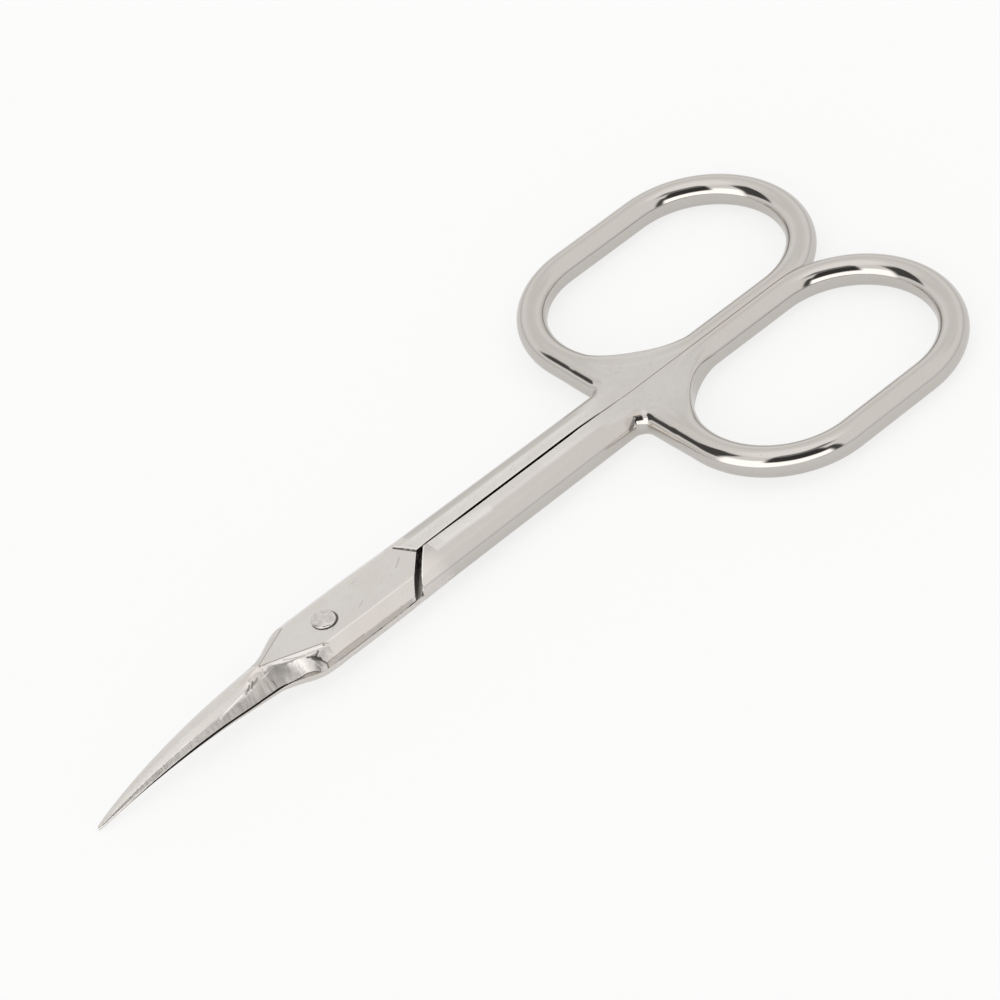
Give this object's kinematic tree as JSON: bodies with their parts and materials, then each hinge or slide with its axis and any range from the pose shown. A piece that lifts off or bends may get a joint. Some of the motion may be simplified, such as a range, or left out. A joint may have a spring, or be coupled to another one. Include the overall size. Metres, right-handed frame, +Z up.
{
  "type": "cuticle scissors",
  "caption": "Small steel cuticle scissors with slim curved blades, oval finger rings and a screwed pivot; the halves open and close about the screw.",
  "frame": {"origin": "centre of the bounding box in plan, at the height of its lowest point, the underside of the lower blade's tip", "axes": "+X from the blades to the finger rings, +Y towards the upper half's ring, +Z up, the side with the screw head; the pivot axis is parallel to Z"},
  "size_m": [0.0886, 0.039, 0.0042],
  "materials": {
    "upper_half": "nickel-plated polished steel, with a ground facet and ground panel of fine grain",
    "lower_half": "nickel-plated polished steel, with a ground facet and ground panel of fine grain",
    "pivot_screw": "polished steel screw with a plain, slightly domed head"
  },
  "bodies": {
    "lower": {"lower_half": "lower_half", "pivot_screw": "pivot_screw"},
    "upper": {"upper_half": "upper_half"}
  },
  "joints": [
    {"name": "pivot", "type": "hinge", "parent": "lower", "child": "upper", "pos_m": [-0.01869, 0, 0.00235], "axis": [0, 0, 1], "range_deg": [0, 60]}
  ]
}
